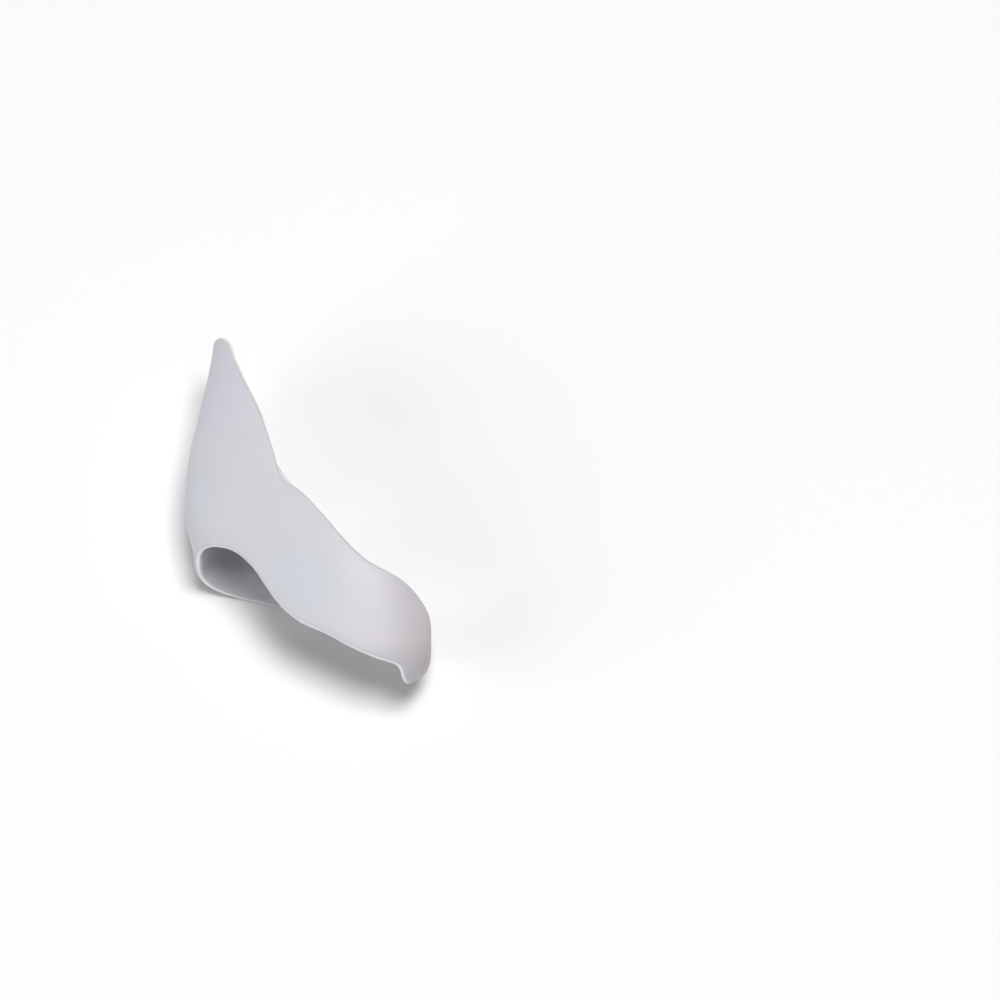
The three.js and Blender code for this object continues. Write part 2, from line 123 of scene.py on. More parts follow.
@dataclass(frozen=True)
class GelSizes:
    """The driving sizes of the separator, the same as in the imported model.

    Walls and rims are thicknesses, a squareness is the power of the section's oval, and the last three
    are shares: of the flap's turn to the shield's, of the smaller opening's height that a fillet may
    take, and of the stagger where the top begins to rise.
    """

    little_toe_width: float = 12.2 * MM
    little_toe_height: float = 11.9 * MM
    fourth_toe_width: float = 13.7 * MM
    fourth_toe_height: float = 13.8 * MM
    spacer_thickness: float = 3.2 * MM
    outer_wall: float = 1.5 * MM
    inner_wall: float = 2.8 * MM
    top_wall: float = 2.0 * MM
    sole_wall: float = 1.8 * MM
    shield_wall: float = 2.8 * MM
    thin_rim: float = 0.9 * MM
    shield_rim: float = 1.1 * MM
    thick_rim: float = 1.5 * MM
    feather_width: float = 4.0 * MM
    steepest_slant: float = 2.4
    toe_stagger: float = 19.6 * MM
    band_depth: float = 13.5 * MM
    strap_depth: float = 9.5 * MM
    shield_length: float = 30.9 * MM
    side_swell: float = 1.75 * MM
    tip_inset: float = 1.7 * MM
    front_inset: float = 2.4 * MM
    tuck_depth: float = 4.8 * MM
    back_rise: float = 10.1 * MM
    spacer_fillet: float = 5.0 * MM
    spacer_hollow: float = 1.6 * MM
    floor_sink: float = 0.6 * MM
    floor_blend: float = 0.35 * MM
    top_squareness: float = 2.5
    sole_squareness: float = 3.2
    flap_share: float = 0.87
    fillet_limit: float = 0.42
    rise_start: float = 0.6

    @property
    def outer_side(self) -> float:
        """Distance from the spacer's plane to the outer side."""
        return self.spacer_thickness / 2 + self.little_toe_width + self.outer_wall

    @property
    def inner_side(self) -> float:
        """Distance from the spacer's plane to the inner side."""
        return self.spacer_thickness / 2 + self.fourth_toe_width + self.inner_wall

    @property
    def little_toe_middle(self) -> float:
        """The middle of the little toe's opening."""
        return -(self.spacer_thickness + self.little_toe_width) / 2

    @property
    def fourth_toe_middle(self) -> float:
        """The middle of the fourth toe's opening."""
        return (self.spacer_thickness + self.fourth_toe_width) / 2

    @property
    def whole_length(self) -> float:
        """Length from the front of the band to the tip of the shield."""
        return self.toe_stagger + self.shield_length

    @property
    def mean_radius(self) -> float:
        """The radius that turns an angle round the section into a distance."""
        return (self.outer_side + self.inner_side) / 3

    @property
    def fillet(self) -> float:
        """Radius of the fillets beside the spacer."""
        return min(self.spacer_fillet, self.fillet_limit * self.little_toe_height)

    @property
    def fillet_reach(self) -> float:
        """How far from the spacer's plane its fillets end."""
        return self.spacer_thickness / 2 + self.fillet

    @property
    def fillet_middle(self) -> float:
        """Where the fillets turn from the sheet to the spacer."""
        return self.spacer_thickness / 2 + self.fillet * (1 - math.sqrt(0.5))


@dataclass(frozen=True)
class Place:
    """A place on the outside of the gel.

    Attributes:
        turn: angle round the section, 0 at the outer side, a right angle on top and minus one beneath.
        reach: distance from the front of the band, towards the tip of the shield.
    """

    turn: float
    reach: float


@dataclass(frozen=True)
class RibEnd(Place):
    """An end of a rib.

    Attributes:
        slant: how much longer the rib takes to cross a strip along the edge than a square line would.
        away: distance from the plane of the spacer.
    """

    slant: float = 1.0
    away: float = 0.0


@dataclass(frozen=True)
class Rib:
    """A rib from the front edge to the back edge, with the thickness of the gel and of its two rims."""

    front: RibEnd
    back: RibEnd
    wall: float
    front_rim: float
    back_rim: float

    def end(self, edge: Edge) -> RibEnd:
        """Return the rib's end on an edge."""
        return self.front if edge is Edge.FRONT else self.back


@dataclass(frozen=True)
class RibPoint(Place):
    """A point along a rib, its distance from the plane of the spacer, and the gel's thickness there."""

    away: float
    thickness: float


@dataclass(frozen=True)
class SideRow:
    """A row of the side's outline: the reach, and how far the side swells out there."""

    reach: float
    out: float


class Outside:
    """The outer skin as a formula: a squared oval section that grows towards the back."""

    def __init__(self, sizes: GelSizes) -> None:
        """Work out the outline of the side.

        Args:
            sizes: the driving sizes.
        """
        self.sizes = sizes
        swell, inset, length = sizes.side_swell, sizes.tip_inset, sizes.shield_length
        self.side_rows = [
            SideRow(-0.5 * sizes.toe_stagger, -0.2 * swell),
            SideRow(0, 0.3 * swell),
            SideRow(0.15 * length, 0.92 * swell),
            SideRow(0.29 * length, swell),
            SideRow(0.45 * length, 0.9 * swell - 0.08 * inset),
            SideRow(0.64 * length, 0.4 * swell - 0.3 * inset),
            SideRow(0.85 * length, -0.65 * inset),
            SideRow(length, -inset),
        ]

    def side_out(self, reach: float) -> float:
        """Follow a smooth curve through the rows of the side's outline.

        Args:
            reach: distance from the front of the shield.

        Returns:
            How far the side stands out there.
        """
        rows = self.side_rows
        last = len(rows) - 1
        if reach <= rows[0].reach:
            return rows[0].out
        if reach >= rows[last].reach:
            return rows[last].out
        i = next(k for k, row in enumerate(rows) if reach < row.reach) - 1

        def slope(k: int) -> float:
            """Return the slope of the curve at row k, level at both ends."""
            if k in (0, last):
                return 0.0
            return (rows[k + 1].out - rows[k - 1].out) / (rows[k + 1].reach - rows[k - 1].reach)

        span = rows[i + 1].reach - rows[i].reach
        t = (reach - rows[i].reach) / span
        bend = span * t * (1 - t) * ((1 - t) * slope(i) - t * slope(i + 1))
        return mix(rows[i].out, rows[i + 1].out, fullness(t, 1)) + bend

    def section(self, reach: float) -> tuple[float, float]:
        """Give the section's width.

        Args:
            reach: distance from the front.

        Returns:
            Half the width of the section there, and its middle.
        """
        sizes = self.sizes
        outer = -sizes.outer_side - self.side_out(reach - sizes.toe_stagger)
        tuck = sizes.front_inset * max(0.0, 1 - reach / sizes.tuck_depth) ** 2
        inner = sizes.inner_side - tuck
        return (inner - outer) / 2, (inner + outer) / 2

    def top_height(self, x: float, reach: float) -> float:
        """Give the height of the outside, from the openings' heights and the rise behind them.

        Args:
            x: distance from the plane of the spacer.
            reach: distance from the front.

        Returns:
            The height there.
        """
        sizes = self.sizes
        across = (x - sizes.little_toe_middle) / (sizes.fourth_toe_middle - sizes.little_toe_middle)
        toes = mix(sizes.little_toe_height, sizes.fourth_toe_height, across)
        rise = (sizes.back_rise / sizes.whole_length) * (reach - sizes.rise_start * sizes.toe_stagger)
        return sizes.sole_wall + toes + sizes.top_wall + rise

    def settled(self, z: float) -> float:
        """Flatten what would lie below the floor.

        Args:
            z: a height.

        Returns:
            The height, or the floor's, with a soft change between them.
        """
        blend = self.sizes.floor_blend
        if z >= blend:
            return z
        if z <= -blend:
            return 0.0
        return (z + blend) ** 2 / (4 * blend)

    def point(self, turn: float, reach: float) -> Vector:
        """Give a point of the outside.

        Args:
            turn: angle round the section.
            reach: distance from the front.

        Returns:
            The point in the form's own axes.
        """
        half, middle = self.section(reach)
        cos, sin = math.cos(turn), math.sin(turn)
        power = self.sizes.top_squareness if sin >= 0 else self.sizes.sole_squareness
        grow = (abs(cos) ** power + abs(sin) ** power) ** (-1 / power)
        x = middle - half * cos * grow
        sink = min(0.0, sin * grow) * self.sizes.floor_sink
        z = self.top_height(x, reach) / 2 * (1 + sin * grow) + sink
        return Vector((x, reach, self.settled(z)))

    def turn_over(self, x: float, reach: float, end: SpacerEnd) -> float:
        """Find where the outside passes over or under a line along the piece.

        Args:
            x: distance of the line from the plane of the spacer.
            reach: distance from the front.
            end: which end of the spacer to look at.

        Returns:
            The turn there.
        """
        half, middle = self.section(reach)
        power = self.sizes.top_squareness if end is SpacerEnd.UPPER else self.sizes.sole_squareness
        widest, narrowest = 0.999, 1e-9
        share = min(widest, max(-widest, (middle - x) / half))
        steep = max(narrowest, abs(share)) ** -power - 1
        turn = math.atan(steep ** (1 / power))
        return end.value * (turn if share >= 0 else math.pi - turn)

    def below(self, turn: float, reach: float, depth: float) -> Vector:
        """Give a point below the outside, in the plane of its section.

        Over and under the spacer the depth goes straight up or down, so that both sides of the spacer
        meet there.

        Args:
            turn: angle round the section.
            reach: distance from the front.
            depth: distance below the outside.

        Returns:
            The point in the form's own axes.
        """
        nudge = 0.02
        around = (self.point(turn + nudge, reach) - self.point(turn - nudge, reach)).normalized()
        point = self.point(turn, reach)
        lean = fullness(abs(point.x), 2 * self.sizes.spacer_fillet)
        inward = Vector((around.z * lean, 0, -around.x)).normalized()
        return point + inward * depth


class RibRing:
    """The closed ring of ribs, from the upper end of the spacer round the shield and the inner wall."""

    def __init__(self, outside: Outside) -> None:
        """Fill the table of ribs.

        Args:
            outside: the outer skin that the ribs lie on.
        """
        self.outside = outside
        self.sizes = sizes = outside.sizes
        stagger, shield_rim = sizes.toe_stagger, sizes.shield_rim
        upper_front, upper_depth = 0.315 * stagger, 1.35 * sizes.band_depth
        sole_front, sole_depth = 0.7 * stagger, 1.05 * sizes.strap_depth
        upper_spacer = self.spacer_rib(SpacerEnd.UPPER, upper_front, upper_front + upper_depth)
        self.sole_spacer = self.spacer_rib(SpacerEnd.SOLE, sole_front, sole_front + sole_depth)
        self.tip = self.table_rib(
            0, 0.9 * stagger, 0, sizes.whole_length, sizes.shield_wall, shield_rim, shield_rim
        )
        upper = self.shield_ribs()
        beneath = [self.mirrored(row) for row in reversed(upper)]
        self.rows = [upper_spacer, *upper, self.tip, *beneath, self.sole_spacer]
        self.sole_index = len(self.rows) - 1
        self.rows += self.fourth_toe_ribs()

    @staticmethod
    def table_rib(
        front_turn: float, front_reach: float, back_turn: float, back_reach: float, *thickness: float
    ) -> Rib:
        """Make a rib from a row of a table.

        Args:
            front_turn: turn of the front end, in degrees.
            front_reach: reach of the front end.
            back_turn: turn of the back end, in degrees.
            back_reach: reach of the back end.
            *thickness: of the gel between its rims, of the front rim and of the back rim.

        Returns:
            The rib, with its turns in radians.
        """
        front = RibEnd(math.radians(front_turn), front_reach)
        return Rib(front, RibEnd(math.radians(back_turn), back_reach), *thickness)

    def spacer_rib(self, end: SpacerEnd, front: float, back: float) -> Rib:
        """Make the rib in the plane of the spacer, over or under it.

        Args:
            end: the end of the spacer.
            front: reach of the front end.
            back: reach of the back end.

        Returns:
            The rib.
        """
        sizes = self.sizes
        ends = [RibEnd(self.outside.turn_over(0, reach, end), reach) for reach in (front, back)]
        wall = sizes.top_wall if end is SpacerEnd.UPPER else sizes.sole_wall
        return Rib(*ends, wall, sizes.thin_rim, sizes.thin_rim)

    def shield_ribs(self) -> list[Rib]:
        """Make the ribs over the little toe's opening and the shield.

        Returns:
            The ribs, from the upper end of the spacer towards the tip.
        """
        sizes = self.sizes
        stagger, length = sizes.toe_stagger, sizes.shield_length
        top, wall, thin, rim = sizes.top_wall, sizes.shield_wall, sizes.thin_rim, sizes.shield_rim
        middle = 0.5 * (top + wall)
        # Turn and reach of the front end, turn and reach of the back end, wall, front rim, back rim.
        table = (
            (78, 0.39 * stagger, 81, stagger + 0.21 * length, top, thin, thin),  # band beside the notch
            (73, 0.47 * stagger, 78, stagger + 0.25 * length, top, thin, thin),  # notch beside the shield
            (67, 0.6 * stagger, 74, stagger + 0.375 * length, middle, thin, thin),  # shield, widest
            (61, 0.74 * stagger, 67, stagger + 0.534 * length, wall, thin, rim),  # shield, middle
            (52, 0.87 * stagger, 55, stagger + 0.708 * length, wall, thin, rim),  # shield, narrowing
            (42, 0.93 * stagger, 46, stagger + 0.826 * length, wall, thin, rim),  # before the tip
            (30, 0.955 * stagger, 37, stagger + 0.932 * length, wall, rim, rim),  # shoulder of the tip
            (15, 0.937 * stagger, 23.5, stagger + 0.987 * length, wall, rim, rim),  # corner of the tip
        )
        return [self.table_rib(*row) for row in table]

    def fourth_toe_ribs(self) -> list[Rib]:
        """Make the ribs round the fourth toe's opening.

        Returns:
            The ribs, from the sole end of the spacer to its upper end.
        """
        sizes = self.sizes
        stagger, band, strap = sizes.toe_stagger, sizes.band_depth, sizes.strap_depth
        sole, inner, top = sizes.sole_wall, sizes.inner_wall, sizes.top_wall
        thin, thick = sizes.thin_rim, sizes.thick_rim
        lower, upper, between = 0.5 * (sole + inner), 0.5 * (top + inner), 0.5 * (thin + thick)
        # Turn and reach of the front end, turn and reach of the back end, wall, front rim, back rim.
        table = (
            (-103, 0.49 * stagger, -103, 0.49 * stagger + strap, sole, thin, thin),  # strap
            (-122, 0.36 * stagger, -122, 0.36 * stagger + 0.9 * strap, sole, thin, thin),  # end of the strap
            (-147, 0.22 * stagger, -147, 0.22 * stagger + 0.66 * strap, lower, thin, between),  # lower corner
            (-180, -0.01 * stagger, -180, 0.62 * band, inner, thin, thick),  # inner wall
            (-201, -0.025 * stagger, -205, 0.74 * band, inner, thin, thick),  # inner wall, upper corner
            (-218, 0.025 * stagger, -225, 0.91 * band, upper, thin, thin),  # front corner of the band
            (-235, 0.055 * stagger, -243, 1.075 * band, top, thin, thin),  # band, widest
            (-250, 0.125 * stagger, -254, 1.3 * band, top, thin, thin),  # dip in the back edge
            (-264, 0.23 * stagger, -263, 1.555 * band, top, thin, thin),  # band before the spacer
        )
        return [self.table_rib(*row) for row in table]

    def mirrored(self, rib: Rib) -> Rib:
        """Make the sole side's rib from the upper side's.

        Args:
            rib: the rib over the shield.

        Returns:
            The rib beneath it. Its front end sweeps from the outer side to the strap.
        """
        sizes = self.sizes
        share = (rib.front.turn / self.sole_spacer.front.turn) ** 2
        sweep = (self.sole_spacer.front.reach - self.tip.front.reach) * share
        return Rib(
            RibEnd(-rib.front.turn, self.tip.front.reach + sweep),
            RibEnd(-rib.back.turn * sizes.flap_share, rib.back.reach),
            min(rib.wall, 0.5 * (sizes.sole_wall + sizes.shield_wall)),
            rib.front_rim,
            rib.back_rim,
        )

    def lapped(self, i: int) -> tuple[Rib, int]:
        """Return row i of the closed ring, and how many times the ring has gone round before it."""
        lap = i // len(self.rows)
        return self.rows[i - lap * len(self.rows)], lap

    def edge_place(self, edge: Edge, position: float) -> Place:
        """Give a place on an edge, on a centripetal curve through the rows before and after it.

        Args:
            edge: the front or the back edge.
            position: number of the row, with a share of the way to the next one.

        Returns:
            The place on the outside.
        """
        i = math.floor(position)
        t = position - i
        radius = self.sizes.mean_radius
        knots = []
        for step in (-1, 0, 1, 2):
            row, lap = self.lapped(i + step)
            place = row.end(edge)
            knots.append(((place.turn - 2 * math.pi * lap) * radius, place.reach))
        gaps = [math.sqrt(math.dist(knots[k], knots[k + 1])) for k in range(3)]

        def along(axis: int) -> float:
            """Follow the curve in one of its coordinates.

            Args:
                axis: 0 for the way round the section, 1 for the reach.

            Returns:
                The coordinate.
            """
            a, b, c, d = (knot[axis] for knot in knots)
            leave = (b - a) / gaps[0] - (c - a) / (gaps[0] + gaps[1]) + (c - b) / gaps[1]
            arrive = (c - b) / gaps[1] - (d - b) / (gaps[1] + gaps[2]) + (d - c) / gaps[2]
            leave *= gaps[1]
            arrive *= gaps[1]
            square = 3 * (c - b) - 2 * leave - arrive
            cube = 2 * (b - c) + leave + arrive
            return b + t * (leave + t * (square + t * cube))

        return Place(along(0) / radius, along(1))

    def slant(self, edge: Edge, i: int, t: float) -> float:
        """Measure how aslant a rib meets an edge.

        Args:
            edge: the front or the back edge.
            i: number of the row before the rib.
            t: share of the way to the next row.

        Returns:
            How much longer the rib takes to cross a strip along the edge than a square line.
        """
        radius = self.sizes.mean_radius
        glance, row_end = 0.05, 0.999999

        def flat(start: Place, end: Place) -> Vector:
            """Return the direction from one place to another, on the section rolled out flat."""
            return Vector(((end.turn - start.turn) * radius, end.reach - start.reach)).normalized()

        rib = flat(self.edge_place(Edge.FRONT, i + t), self.edge_place(Edge.BACK, i + t))
        before = self.edge_place(edge, i + max(0.0, t - glance))
        after = self.edge_place(edge, i + min(row_end, t + glance))
        crossing = abs(rib.cross(flat(before, after)))
        return min(self.sizes.steepest_slant, 1 / crossing)

    def rib(self, i: int, t: float) -> Rib:
        """Make the rib between two rows.

        Args:
            i: number of the row before it.
            t: share of the way to the next row.

        Returns:
            The rib.
        """
        row, _ = self.lapped(i)
        following, _ = self.lapped(i + 1)
        rise = fullness(t, 1)
        ends = []
        for edge in Edge:
            place = self.edge_place(edge, i + t)
            ends.append(RibEnd(place.turn, place.reach, self.slant(edge, i, t)))
        return Rib(
            *ends,
            mix(row.wall, following.wall, rise),
            mix(row.front_rim, following.front_rim, rise),
            mix(row.back_rim, following.back_rim, rise),
        )

    def length(self, rib: Rib) -> float:
        """Measure a rib over the outside, by way of its middle.

        Args:
            rib: the rib.

        Returns:
            Its length.
        """
        front, back = rib.front, rib.back
        start = self.outside.point(front.turn, front.reach)
        halfway = self.outside.point((front.turn + back.turn) / 2, (front.reach + back.reach) / 2)
        end = self.outside.point(back.turn, back.reach)
        return (halfway - start).length + (end - halfway).length

    def along(self, rib: Rib, share: float) -> RibPoint:
        """Give a point along a rib.

        Args:
            rib: the rib.
            share: share of the way from its front end to its back end.

        Returns:
            The point. The gel thins down to the rims near both ends.
        """
        length = self.length(rib)
        front_width = min(self.sizes.feather_width * rib.front.slant, length / 2)
        back_width = min(self.sizes.feather_width * rib.back.slant, length / 2)
        thin_front = (rib.wall - rib.front_rim) * (1 - fullness(share * length, front_width))
        thin_back = (rib.wall - rib.back_rim) * (1 - fullness((1 - share) * length, back_width))
        return RibPoint(
            mix(rib.front.turn, rib.back.turn, share),
            mix(rib.front.reach, rib.back.reach, share),
            mix(rib.front.away, rib.back.away, share),
            rib.wall - thin_front - thin_back,
        )

    def away(self, place: Place) -> float:
        """Measure how far a place is from the plane of the spacer.

        Args:
            place: the place on the outside.

        Returns:
            Its distance. The two sides, where the cosine of the turn is high, count as far away.
        """
        side_cosine = 0.8
        away = abs(self.outside.point(place.turn, place.reach).x)
        return max(away, self.sizes.fillet_reach) if abs(math.cos(place.turn)) > side_cosine else away

    def edge_away(self, edge: Edge, start: float, step: int, away: float) -> Place:
        """Find the place on an edge that lies a given distance from the spacer.

        Args:
            edge: the front or the back edge.
            start: number of the row where the search starts.
            step: 1 to search onward, -1 to search backward.
            away: the distance to find.

        Returns:
            The place.
        """
        near, far, halvings = 0.0, 5.0, 20
        for _ in range(halvings):
            middle = (near + far) / 2
            if self.away(self.edge_place(edge, start + step * middle)) < away:
                near = middle
            else:
                far = middle
        return self.edge_place(edge, start + step * far)

    def rib_beside(self, rib: Rib, start: float, step: int) -> Rib:
        """Make the rib of the inner face beside a rib.

        Near the spacer the inner face gives way to the fillet, so its ribs are pushed outward, from the
        middle of the fillet at the spacer to no push at its end.

        Args:
            rib: the rib on the outside.
            start: number of the spacer's row.
            step: 1 if the rib comes after that row, -1 if before.

        Returns:
            The rib beside it.
        """
        sizes = self.sizes
        ends = []
        for edge, end in ((Edge.FRONT, rib.front), (Edge.BACK, rib.back)):
            away = self.away(end)
            if away < sizes.fillet_reach:
                pushed = mix(sizes.fillet_middle, sizes.fillet_reach, away / sizes.fillet_reach)
                place = self.edge_away(edge, start, step, pushed)
                ends.append(replace(end, turn=place.turn, reach=place.reach, away=pushed))
            else:
                ends.append(replace(end, away=away))
        return replace(rib, front=ends[0], back=ends[1])


@dataclass(frozen=True)
class MeshSteps:
    """How finely the gel is meshed."""

    columns_per_row: int = 9
    rim_steps: int = 7
    face_steps: int = 38
    fillet_steps: int = 10
    spacer_steps: int = 8


@dataclass(frozen=True)
class PartingLine:
    """The fine raised line that the two halves of the mould leave along the middle of every rim."""

    height: float = 0.05 * MM
    width: float = 0.32 * MM


@dataclass(frozen=True)
class SkinPoint:
    """A vertex of the gel: its place in the form's own axes, and how far over the skin its edges are."""

    at: Vector
    from_front: float
    from_back: float


@dataclass(frozen=True)
class Cloud:
    """A soft cloud of tint in the gel, or of painted shade.

    Attributes:
        tint: its tint.
        at: its middle, in the form's own axes.
        radius: how far it spreads.
        strength: how much of the tint shows in its middle.
    """

    tint: Tint
    at: Point
    radius: float
    strength: float

    def share(self, point: Vector) -> float:
        """Return how much of the tint shows at a point."""
        return self.strength * (1 - fullness((point - Vector(self.at)).length, self.radius))


@dataclass
class GelForm:
    """The separator's gel: its outside, its two openings and the spacer between them.

    Attributes:
        sizes: the driving sizes.
        steps: how finely it is meshed.
        parting: the mould's line along the rims.
    """

    sizes: GelSizes = field(default_factory=GelSizes)
    steps: MeshSteps = field(default_factory=MeshSteps)
    parting: PartingLine = field(default_factory=PartingLine)

    def __post_init__(self) -> None:
        """Lay out the ribs, and the ends of the spacer."""
        self.outside = Outside(self.sizes)
        self.ring = RibRing(self.outside)
        self.spacer = Spacer(self)

    def core(self, place: RibPoint) -> Vector:
        """Return the middle of the gel's thickness at a point of a rib."""
        return self.outside.below(place.turn, place.reach, place.thickness / 2)

    def inner_face(self, place: RibPoint) -> Vector:
        """Give the inner face, where the spacer's fillet thickens the gel.

        Args:
            place: a point of a rib.

        Returns:
            The point of the inner face below it.
        """
        fillet = self.sizes.fillet
        into = max(0.0, self.sizes.fillet_reach - place.away)
        drop = fillet - math.sqrt(max(0.0, fillet**2 - into**2))
        return self.outside.below(place.turn, place.reach, place.thickness + drop)

    def inner_radius(self, end: RibEnd, rim: float) -> float:
        """Return the radius of a rim on its inner side, which grows to the spacer's at the spacer."""
        growth = 1 - fullness(self.ring.away(end), self.sizes.fillet_reach)
        return mix(rim / 2, self.sizes.spacer_thickness / 2, growth) * end.slant

    def step_shares(self, length: float, front_radius: float, back_radius: float) -> list[float]:
        """Space the steps along a column, closer together over the two rims.

        Args:
            length: length of the column.
            front_radius: radius of the front rim.
            back_radius: radius of the back rim.

        Returns:
            Shares of the length, from 0 to 1.
        """
        rims, faces = self.steps.rim_steps, self.steps.face_steps
        quarter = [1 - math.cos(k / rims * RIGHT_ANGLE) for k in range(rims)]
        start, end = front_radius / length, 1 - back_radius / length
        shares = [front_radius * part / length for part in quarter]
        shares += [mix(start, end, k / faces) for k in range(faces + 1)]
        shares += [1 - back_radius * part / length for part in reversed(quarter)]
        return shares

    def column(
        self,
        length: float,
        radii: tuple[float, float],
        core_at: Callable[[float], Vector],
        face_at: Callable[[float], Vector],
    ) -> list[SkinPoint]:
        """Run a column from the front edge to the back edge.

        The column leaves the core at each edge and swings out to the face round a full rim, a quarter
        of a circle on each side.

        Args:
            length: length of the column.
            radii: radii of its front and back rims.
            core_at: the middle of the gel at a share of the length.
            face_at: the face at a share of the length.

        Returns:
            The points of the column.
        """
        outward = [(core_at(share) - core_at(1 - share)).normalized() for share in (0.0, 1.0)]
        points = []
        for share in self.step_shares(length, *radii):
            distances = (share * length, (1 - share) * length)
            sides = [
                math.acos(1 - min(1.0, distance / radius)) for distance, radius in zip(distances, radii)
            ]
            at = core_at(share).lerp(face_at(share), math.sin(sides[0]) * math.sin(sides[1]))
            over = []
            for direction, radius, distance, side in zip(outward, radii, distances, sides):
                line = 1 - fullness(math.sin(side) * radius, self.parting.width / 2)
                at += direction * (self.parting.height * line)
                over.append(side * radius + max(0.0, distance - radius))
            points.append(SkinPoint(at, *over))
        return points

    def outer_column(self, rib: Rib) -> list[SkinPoint]:
        """Run a column over the outside.

        Args:
            rib: the rib that it follows.

        Returns:
            The points of the column.
        """

        def face(share: float) -> Vector:
            """Return the outside at a share of the rib."""
            place = self.ring.along(rib, share)
            return self.outside.point(place.turn, place.reach)

        return self.column(
            self.ring.length(rib),
            (rib.front_rim / 2 * rib.front.slant, rib.back_rim / 2 * rib.back.slant),
            lambda share: self.core(self.ring.along(rib, share)),
            face,
        )

    def inner_column(self, rib: Rib, start: float, step: int) -> list[SkinPoint]:
        """Run a column over the inner face.

        Args:
            rib: the rib.
            start: number of the nearer spacer row.
            step: 1 if the rib comes after that row, -1 if before.

        Returns:
            The points of the column.
        """
        beside = self.ring.rib_beside(rib, start, step)
        radii = (
            self.inner_radius(rib.front, rib.front_rim),
            self.inner_radius(rib.back, rib.back_rim),
        )
        return self.column(
            self.ring.length(rib),
            radii,
            lambda share: self.core(self.ring.along(rib, share)),
            lambda share: self.inner_face(self.ring.along(beside, share)),
        )


@dataclass(frozen=True)
class SpacerStep:
    """A column of the spacer.

    Attributes:
        bend: angle round a fillet, from an eighth of a turn at its middle to a quarter at its end.
        rise: 0 at the sole end of the spacer, 1 at its upper end.
    """

    bend: float
    rise: float

    @property
    def bent(self) -> float:
        """How far round its fillet the column is, from 0 at the middle to 1 at the straight face."""
        return (self.bend - RIGHT_ANGLE / 2) / (RIGHT_ANGLE / 2)

    @property
    def nearer_end(self) -> SpacerEnd:
        """The end of the spacer that the column is nearer to."""
        return SpacerEnd.UPPER if self.rise >= 0.5 else SpacerEnd.SOLE


